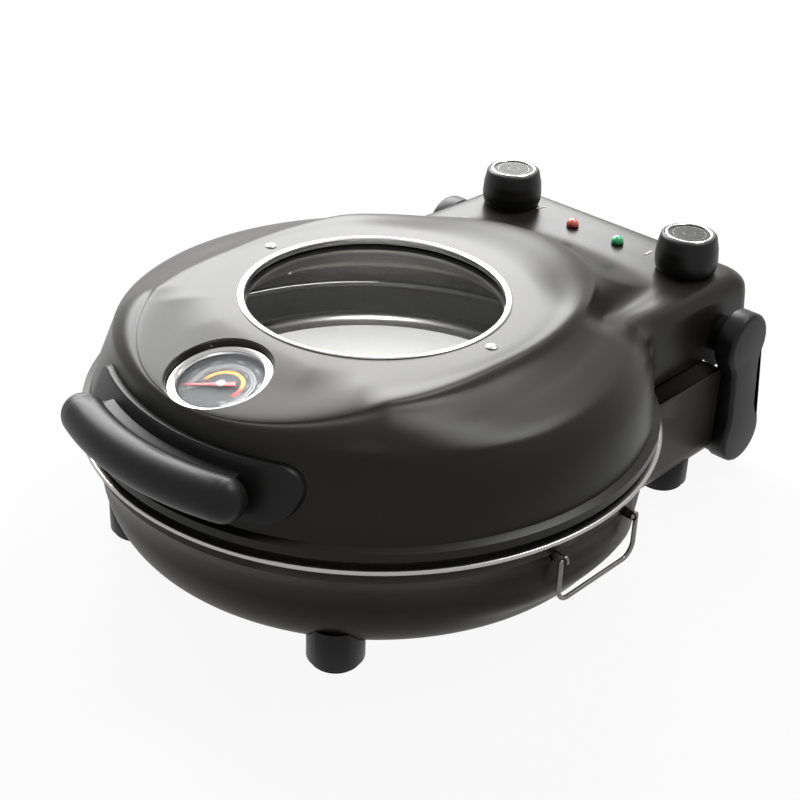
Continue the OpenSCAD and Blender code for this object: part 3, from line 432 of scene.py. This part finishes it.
def hump_share(turn):
    return ease((folded(turn) - HUMP_FROM) / HUMP_OVER)


def lid_height(share):
    return mix(LID_GAP, TOP_Z, share)


def hump_height(share):
    return mix(LID_GAP, HUMP_Z, share) if share < 1 else mix(HUMP_Z, TOP_Z, share - 1)


def hump_reach(turn, inset):
    """Distance along a direction to the hump's outline, drawn in by inset."""
    w, rear = HUMP_HALF_W - inset, HUMP_REAR - inset
    corner = Vector((w - HUMP_CORNER, rear - HUMP_CORNER))
    along = Vector((cos(turn), sin(turn)))
    if turn < math.degrees(math.atan(corner[1] / w)):
        return w / along[0]
    if turn > math.degrees(math.atan2(rear, corner[0])):
        return rear / along[1]
    share = along.dot(corner)
    return share + math.sqrt(share ** 2 - corner.length_squared + HUMP_CORNER ** 2)


def lid_reach(turn, round_in, hump_in):
    """Round lid and hump, each drawn in by its own inset, joined by a hollow neck."""
    side, r = folded(turn), LID_R - round_in
    if side < ROUND_BELOW:
        return r
    hump = hump_reach(side, hump_in)
    near = max(0, NECK_SOFT - abs(hump - r)) / NECK_SOFT
    return max(hump, r) + near ** 2 * NECK_SOFT / 4


def row_reach(turn, section):
    inset = mix(section[0], section[2], front_share(turn))
    return lid_reach(turn, inset, section[4])


def oval_hit(turn, half_l):
    a = (cos(turn) / OVAL_HALF_W) ** 2 + (sin(turn) / half_l) ** 2
    b = sin(turn) * OVAL_WIDE_Y / half_l ** 2
    c = (OVAL_WIDE_Y / half_l) ** 2 - 1
    return (b + math.sqrt(b * b - a * c)) / a


def oval_reach(turn):
    back = oval_hit(turn, OVAL_REAR - OVAL_WIDE_Y)
    if back * sin(turn) > OVAL_WIDE_Y:
        return back
    square = OVAL_SQUARE * sin(2 * turn) ** 2 if folded(turn) < 0 else 0
    return oval_hit(turn, OVAL_FRONT + OVAL_WIDE_Y) * (1 + square)


def pad_reach(turn):
    return -PAD_FRONT / sin(turn) if -PAD_R * sin(turn) > PAD_FRONT else PAD_R


def lid_mix(turn, side, front, hump):
    return mix(mix(side, front, front_share(turn)), hump, hump_share(turn))


def oval_z(turn, reach, side, hump):
    fall = max(0, -reach * sin(turn) - PAD_FRONT) * math.tan(math.radians(GAUGE_TILT))
    return lid_mix(turn, lid_height(side), TOP_Z - fall, hump_height(hump))


def lid_section(turn):
    """The lid's main points along one direction, as (distance from the axis, height)."""
    points = []
    for i, section in enumerate(WALL_ROWS):
        out = SKIRT_OUT * (1 - hump_share(turn)) if i < 2 else 0
        z = lid_mix(turn, lid_height(section[1]), lid_height(section[3]), hump_height(section[5]))
        reach = row_reach(turn, section) + out
        if i == 0:
            apron = ease((reach * sin(turn) - APRON_FROM) / APRON_OVER)
            z -= hump_share(turn) * (SKIRT_DROP + APRON_DROP * apron)
        points.append((reach, z))
    shoulder, edge = points[-1][0], oval_reach(turn)
    for across, side, front, hump in SHELF_ROWS:
        climb = mix(lid_height(FRONT_SHOULDER), oval_z(turn, edge, 1, 1), front)
        points.append((mix(shoulder, edge, across),
                       lid_mix(turn, lid_height(side), climb, hump_height(hump))))
    for across, side, hump in OVAL_ROWS:
        reach = mix(edge, pad_reach(turn), across)
        points.append((reach, oval_z(turn, reach, side, hump)))
    return points + [(pad_reach(turn), TOP_Z), (HOLE_R, TOP_Z)]


def curve_between(p, t):
    """Point at share t of the smooth curve from p[1] to p[2], given four points."""
    knots = [0.0]
    for a, b in zip(p, p[1:]):
        knots.append(knots[-1] + max((b - a).length, 1e-4) ** 0.5)
    k = mix(knots[1], knots[2], t)

    def between(a, b, i, j):
        span = knots[j] - knots[i]
        return a * ((knots[j] - k) / span) + b * ((k - knots[i]) / span)

    first = [between(p[i], p[i + 1], i, i + 1) for i in range(3)]
    second = [between(first[i], first[i + 1], i, i + 2) for i in range(2)]
    return between(second[0], second[1], 1, 2)


def smooth_section(turn):
    """lid_section with the wall, shoulder and oval edge rounded into one curve."""
    points = [Vector(p) for p in lid_section(turn)]
    curved = points[:2]
    for i in range(2, len(points) - 2):
        before = points[i - 1] if i > 2 else points[i] * 2 - points[i + 1]
        four = (before, points[i], points[i + 1], points[i + 2])
        curved += [curve_between(four, step / CURVE_STEPS) for step in range(CURVE_STEPS)]
    return curved + points[-2:]


def lid_turns():
    """Directions round the lid, closer together at the hump's corners."""
    start = math.degrees(math.atan((HUMP_REAR - HUMP_CORNER) / HUMP_HALF_W))
    end = math.degrees(math.atan2(HUMP_REAR, HUMP_HALF_W - HUMP_CORNER))
    corner = [mix(start, end, i / CORNER_STEPS) for i in range(CORNER_STEPS + 1)]
    even = [-90 + TURN_STEP * i for i in range(int(180 / TURN_STEP) + 1)]
    right = sorted(corner + [d for d in even
                             if not start - CORNER_CLEAR < d < end + CORNER_CLEAR])
    return right + [180 - d for d in reversed(right[1:-1])]


def tool_from(outline, matrix, steps=128):
    return spun("tool", outline, MATERIALS["lid_paint"], matrix=matrix, steps=steps)


def join(obj, tool, operation):
    """Adds the tool's shape to obj or takes it away; the tool is removed."""
    change = obj.modifiers.new("join", "BOOLEAN")
    change.object = tool
    change.operation = operation
    change.solver = "MANIFOLD"
    bpy.context.view_layer.update()
    evaluated = obj.evaluated_get(bpy.context.evaluated_depsgraph_get())
    made = bpy.data.meshes.new_from_object(evaluated)
    obj.modifiers.clear()
    old = obj.data
    obj.data = made
    bpy.data.meshes.remove(old)
    data = tool.data
    bpy.data.objects.remove(tool)
    bpy.data.meshes.remove(data)


def lid_skin():
    """The pressed lid: one smooth sheet with the gauge's cup sunk in its front slope."""
    bm = bmesh.new()
    turns = lid_turns()
    sections = [smooth_section(turn) for turn in turns]
    columns, levels = len(turns), len(sections[0]) - 1
    bmesh.ops.create_grid(bm, x_segments=columns, y_segments=levels, size=1)
    for v in bm.verts:
        column = round((v.co.x + 1) / 2 * columns) % columns
        reach, z = sections[column][round((v.co.y + 1) / 2 * levels)]
        v.co = row(reach * cos(turns[column]), reach * sin(turns[column]), z)
    bmesh.ops.remove_doubles(bm, verts=bm.verts, dist=1e-6)
    obj = object_from(bm, "lid_skin", [MATERIALS["lid_paint"]])
    sheet = obj.modifiers.new("sheet", "SOLIDIFY")
    sheet.thickness = WALL / 1000
    sheet.offset = -1
    wall, ledge = GAUGE_R + GAUGE_GAP, GAUGE_R - GAUGE_LEDGE
    lip = arc(wall + 1.4, -1.4, 1.4, 180, 105, 5)
    cup = tool_from([(0, -GAUGE_SEAT - 1.4), (wall + 1.4, -GAUGE_SEAT - 1.4), (wall + 1.4, -2),
                     (0, -2)], GAUGE)
    join(obj, cup, "UNION")
    opening = tool_from([(0, -40), (ledge, -40), (ledge, -GAUGE_SEAT), (wall, -GAUGE_SEAT)]
                        + lip + [(wall + 2, 4), (0, 4)], GAUGE)
    join(obj, opening, "DIFFERENCE")
    for side in (-1, 1):
        screw = tool_from([(0, 50), (SCREW_HOLE_R, 50), (SCREW_HOLE_R, 90), (0, 90)],
                          ROW @ Matrix.Translation((side * WINDOW_SCREW_X, 0, 0)), steps=32)
        join(obj, screw, "DIFFERENCE")
    obj.data.shade_smooth()
    obj.data.set_sharp_from_angle(angle=math.radians(35))
    return placed(obj, "lid_shell")


# ---------- printed and applied details ----------
PRINT_THICK = 0.06


def flat_ring(bm, inner, outer, start, end, height, matrix, slot=0):
    """A thin printed band from one angle to another, clockwise seen from above."""
    steps = max(2, int(abs(end - start) / 3))
    a, b = math.radians(start), math.radians(end)
    top = height + PRINT_THICK
    corners = [(inner, height), (outer, height), (outer, top), (inner, top)]
    verts = [bm.verts.new((r * math.cos(a), r * math.sin(a), z)) for r, z in corners]
    face = bm.faces.new(verts)
    bmesh.ops.spin(bm, geom=[face], cent=(0, 0, 0), axis=(0, 0, 1), steps=steps, angle=b - a,
                   use_duplicate=False)
    faces = {f for v in verts for f in v.link_faces}
    grown = set()
    while faces:
        grown |= faces
        faces = {f for g in faces for e in g.edges for f in e.link_faces} - grown
    every = {v for f in grown for v in f.verts}
    bmesh.ops.transform(bm, matrix=matrix, verts=list(every))
    for f in grown:
        f.material_index = slot


def box_mark(bm, centre, size, turn, matrix):
    """A thin rectangular mark, turned about its own upright axis."""
    made = bmesh.ops.create_cube(bm, size=1)["verts"]
    place = (matrix @ Matrix.Rotation(math.radians(turn), 4, "Z") @ Matrix.Translation(centre)
             @ Matrix.Diagonal((*size, 1)))
    bmesh.ops.transform(bm, matrix=place, verts=made)


def number(bm, words, size, radius, turn, height, matrix):
    """A plain number standing upright to the dial's centre line."""
    data = bpy.data.curves.new("digits", "FONT")
    data.body = words
    data.size = size
    data.extrude = 0.03
    data.resolution_u = 2
    data.align_x, data.align_y = "CENTER", "CENTER"
    holder = bpy.data.objects.new("digits", data)
    bpy.context.scene.collection.objects.link(holder)
    bpy.context.view_layer.update()
    mesh = bpy.data.meshes.new_from_object(
        holder.evaluated_get(bpy.context.evaluated_depsgraph_get()))
    before = len(bm.verts)
    bm.from_mesh(mesh)
    bm.verts.ensure_lookup_table()
    made = bm.verts[before:]
    place = (matrix @ Matrix.Rotation(math.radians(turn - 90), 4, "Z")
             @ Matrix.Translation((0, radius, height)))
    bmesh.ops.transform(bm, matrix=place, verts=made)
    bpy.data.objects.remove(holder)
    bpy.data.curves.remove(data)
    bpy.data.meshes.remove(mesh)


def gauge_parts():
    """The sunk bezel, and the dial with its dark raised edge, which covers the case's inner wall
    as painted shade.
    """
    placed(spun("bezel", [(24.8, -4.4), (GAUGE_R, -4.4), (GAUGE_R, -3.3), (GAUGE_R - 0.7, -3.0),
                          (25.7, -3.5), (24.8, -4.0)], MATERIALS["chrome"], matrix=GAUGE),
           "gauge_bezel")
    # The dial's raised edge, in the dial's dark finish, hides the case's bright inner wall:
    # painted shade
    placed(spun("dial", [(0.9, -11), (DIAL_R, -11), (DIAL_R, -5.9), (DIAL_R - 0.3, -5.9),
                         (DIAL_R - 0.5, DIAL_TOP), (0.9, DIAL_TOP)], MATERIALS["gauge_face"],
                matrix=GAUGE), "gauge_dial")


SCALE_START, SCALE_SWEEP = 222, -264
SCALE_TICKS, TICKS_PER_NUMBER = 56, 8
BAND_IN, BAND_OUT, RING_IN, TICK_R = 18.6, 24.2, 16.4, 17.4
OUTER_NUMBER_R, INNER_NUMBER_R = 21.4, 14.7
ARC_IN, ARC_OUT, ARC_START, ARC_CHANGE, ARC_END = 10.8, 13.0, 186, 22, -12


def scale_turn(share):
    return SCALE_START + SCALE_SWEEP * share


def gauge_print():
    """The dial's scale: bands, ticks, plain numbers and the coloured arc."""
    bm = bmesh.new()
    up = DIAL_TOP + 0.02
    line = up + 0.05
    flat_ring(bm, BAND_IN, BAND_OUT, scale_turn(-0.02), scale_turn(1.02), up, GAUGE, slot=1)
    flat_ring(bm, BAND_IN - 0.4, BAND_IN, scale_turn(0), scale_turn(1), line, GAUGE)
    flat_ring(bm, RING_IN, RING_IN + 0.3, scale_turn(0), scale_turn(1), line, GAUGE)
    for i in range(SCALE_TICKS + 1):
        size = (1.2, 0.2, PRINT_THICK) if i % TICKS_PER_NUMBER else (2.2, 0.34, PRINT_THICK)
        box_mark(bm, (TICK_R, 0, up + 0.1), size, scale_turn(i / SCALE_TICKS), GAUGE)
    for i in range(8):
        turn = scale_turn(i / 7)
        outer, inner = 100 * i, 50 * i + 10 * (i > 3)
        number(bm, str(outer), 2.9, OUTER_NUMBER_R, turn, up + 0.14, GAUGE)
        number(bm, str(inner), 2.1, INNER_NUMBER_R, turn, up + 0.14, GAUGE)
    flat_ring(bm, ARC_IN, ARC_OUT, ARC_START, ARC_CHANGE, line, GAUGE, slot=2)
    flat_ring(bm, ARC_IN, ARC_OUT, ARC_CHANGE, ARC_END, line, GAUGE, slot=3)
    obj = object_from(bm, "gauge_print", [PRINT_WHITE, PRINT_BAND, PRINT_ORANGE, PRINT_RED],
                      smooth=False)
    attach(obj, "lid")


# Radius and width of each ring on a knob's top
KNOB_RINGS = [(10.4, 0.35), (3.6, 0.3)]
# Place and direction of the mark beside each knob
DECK_MARKS = [(-53.7, 221.6, 75), (42.4, 216, 90)]


def knob_top_rings(side, body):
    """Two fine raised rings on a knob's sunk disc."""
    place = ROW @ Matrix.Translation((side * KNOB_X, KNOB_Y, KNOB_TOP - 0.4))
    for i, (r, width) in enumerate(KNOB_RINGS):
        outline = [(r, -0.05), (r + width, -0.05), (r + width - 0.05, 0.12), (r + 0.05, 0.12)]
        ring = spun("%s_fine_ring_%d" % (body, i + 1), outline, FINE_RING, place, steps=96)
        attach(ring, body)


def deck_marks():
    """The white pointer mark beside each knob."""
    bm = bmesh.new()
    for x, y, turn in DECK_MARKS:
        place = ROW @ Matrix.Translation((x, y, HUMP_Z))
        box_mark(bm, (0, 0, 0.1), (7.5, 1.3, 0.5), turn, place)
    obj = object_from(bm, "deck_marks", [DECK_WHITE], smooth=False)
    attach(obj, "lid")


# ---------- the scene around the object ----------
FLOOR_COLOR, FLOOR_WHITE = (0.6, 0.6, 0.6), 0.93
ROOM_LIGHT = 0.12


def seen_white(s):
    """1 for camera, glossy and transmission rays, which are shown white."""
    path = s.node("ShaderNodeLightPath")
    seen = s.math("ADD", path.outputs["Is Camera Ray"], path.outputs["Is Glossy Ray"])
    return s.math("ADD", seen, path.outputs["Is Transmission Ray"], clamp=True)


def backdrop_material(name, color, white_share):
    """Pale surface that shows mostly white to the rays of seen_white."""
    m = bpy.data.materials.new(name)
    m.use_nodes = True
    s = Shader(m.node_tree)
    s.tree.nodes.clear()
    out = s.node("ShaderNodeOutputMaterial")
    body = s.node("ShaderNodeBsdfDiffuse", {"Color": (*color, 1)})
    glow = s.node("ShaderNodeEmission", {"Color": (1, 1, 1, 1), "Strength": 1.0})
    mixed = s.node("ShaderNodeMixShader")
    s.link(s.math("MULTIPLY", seen_white(s), white_share), mixed.inputs[0])
    s.link(body.outputs[0], mixed.inputs[1])
    s.link(glow.outputs[0], mixed.inputs[2])
    s.link(mixed.outputs[0], out.inputs["Surface"])
    return m


def set_stage():
    bm = bmesh.new()
    bmesh.ops.create_grid(bm, x_segments=1, y_segments=1, size=6)
    floor = object_from(bm, "floor", [backdrop_material("floor_white", FLOOR_COLOR, FLOOR_WHITE)])
    world = bpy.data.worlds.new("studio")
    bpy.context.scene.world = world
    world.use_nodes = True
    s = Shader(world.node_tree)
    s.tree.nodes.clear()
    out = s.node("ShaderNodeOutputWorld")
    room = s.node("ShaderNodeBackground", {"Color": (1, 1, 1, 1), "Strength": ROOM_LIGHT})
    white = s.node("ShaderNodeBackground", {"Color": (1, 1, 1, 1), "Strength": 1.0})
    mixed = s.node("ShaderNodeMixShader")
    s.link(seen_white(s), mixed.inputs[0])
    s.link(room.outputs[0], mixed.inputs[1])
    s.link(white.outputs[0], mixed.inputs[2])
    s.link(mixed.outputs[0], out.inputs["Surface"])


def hang_lamp(data, place, target):
    """Puts a lamp at place, facing target."""
    lamp = bpy.data.objects.new(data.name, data)
    look = (target - place).to_track_quat("-Z", "Y").to_matrix().to_4x4()
    lamp.matrix_world = Matrix.Translation(place) @ look
    bpy.context.scene.collection.objects.link(lamp)


def softbox(name, place, width, height, radiance, target):
    data = bpy.data.lights.new(name, "AREA")
    data.shape = "RECTANGLE"
    data.size, data.size_y = width, height
    data.energy = radiance * math.pi * width * height
    hang_lamp(data, Vector(place), Vector(target))


def window_spot():
    """A narrow lamp that shines through the window onto the stone."""
    data = bpy.data.lights.new("window_spot", "SPOT")
    data.energy = 130
    data.spot_size = math.radians(8.5)
    data.spot_blend = 0.3
    data.shadow_soft_size = 0.04
    hang_lamp(data, Vector((0.62, -0.66, 1.1)), row(0, 0, TOP_Z))


set_camera()
set_stage()
softbox("left_softbox", (-1.386, 0.77, 1.13), 2.0, 1.05, 13.0, (0, -0.15, 0.14))
softbox("overhead_softbox", (0.3, 0.75, 1.5), 0.8, 0.45, 13.0, (0, 0, 0.08))
window_spot()

for node, slot in SLOT_OF.items():
    finish_node(node, slot)
lid_skin()
bowl_skin()
for node in ("base_rim_ring", "base_liner", "pizza_stone"):
    smooth_copy(node, sharp=32)
# The lid liner's darker steel is painted shade for the lid's inside
smooth_copy("lid_liner", sharp=32, finish="shaded_lid_liner_steel")
for node in ("bail_left", "bail_right", "bail_bracket_left", "bail_bracket_right"):
    smooth_copy(node, sharp=38, finish="bail_steel")
for node in ("handle", "hinge_arm_left", "hinge_arm_right", "thermostat_knob", "timer_knob",
             "foot_front_left", "foot_front_right", "foot_rear_left", "foot_rear_right"):
    smooth_copy(node, sharp=38, bevel=0.5)
for node in ("lower_heating_element", "upper_heating_element", "window_ring", "window_glass",
             "window_seal", "window_clamp", "gauge_case", "gauge_lens",
             "lamp_red", "lamp_green", "thermostat_knob_ring",
             "timer_knob_ring", "thermostat_knob_disc", "timer_knob_disc", "window_screws",
             "upper_hinge_pins", "lower_hinge_pins", "cord_bush", "foot_pads", "gauge_needle_hub"):
    smooth_copy(node, sharp=38)
gauge_parts()
gauge_print()
deck_marks()
knob_top_rings(1, "thermostat_knob")
knob_top_rings(-1, "timer_knob")

bpy.context.scene.view_settings.view_transform = "Standard"
